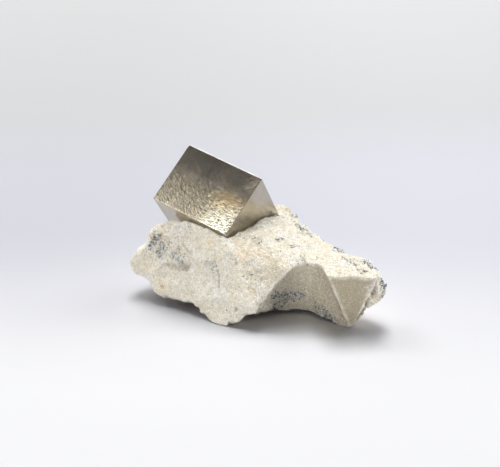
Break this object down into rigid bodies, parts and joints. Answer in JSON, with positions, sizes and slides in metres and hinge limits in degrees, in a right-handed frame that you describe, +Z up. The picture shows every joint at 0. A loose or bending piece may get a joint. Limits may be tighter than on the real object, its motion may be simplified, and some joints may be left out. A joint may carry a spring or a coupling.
{
  "type": "pyrite crystal specimen",
  "caption": "Right-angled metallic pyrite crystal set corner down in a broken, pale marl base that stands on its lowest points.",
  "frame": {"origin": "bottom centre of the whole specimen, where it stands on a level surface", "axes": "+Z up, -Y towards the front, which shows the smooth broken face, the notch and the flat mould; +X to the viewer's right, along the longest side"},
  "size_m": [0.0712, 0.053, 0.0418],
  "materials": {
    "pyrite": "bright pale brass metal, finely striated and pitted",
    "marl": "matt cream to grey marl with dark grains and tan stains"
  },
  "bodies": {
    "root": {"pyrite_crystal": "pyrite", "marl_matrix": "marl"}
  },
  "joints": []
}
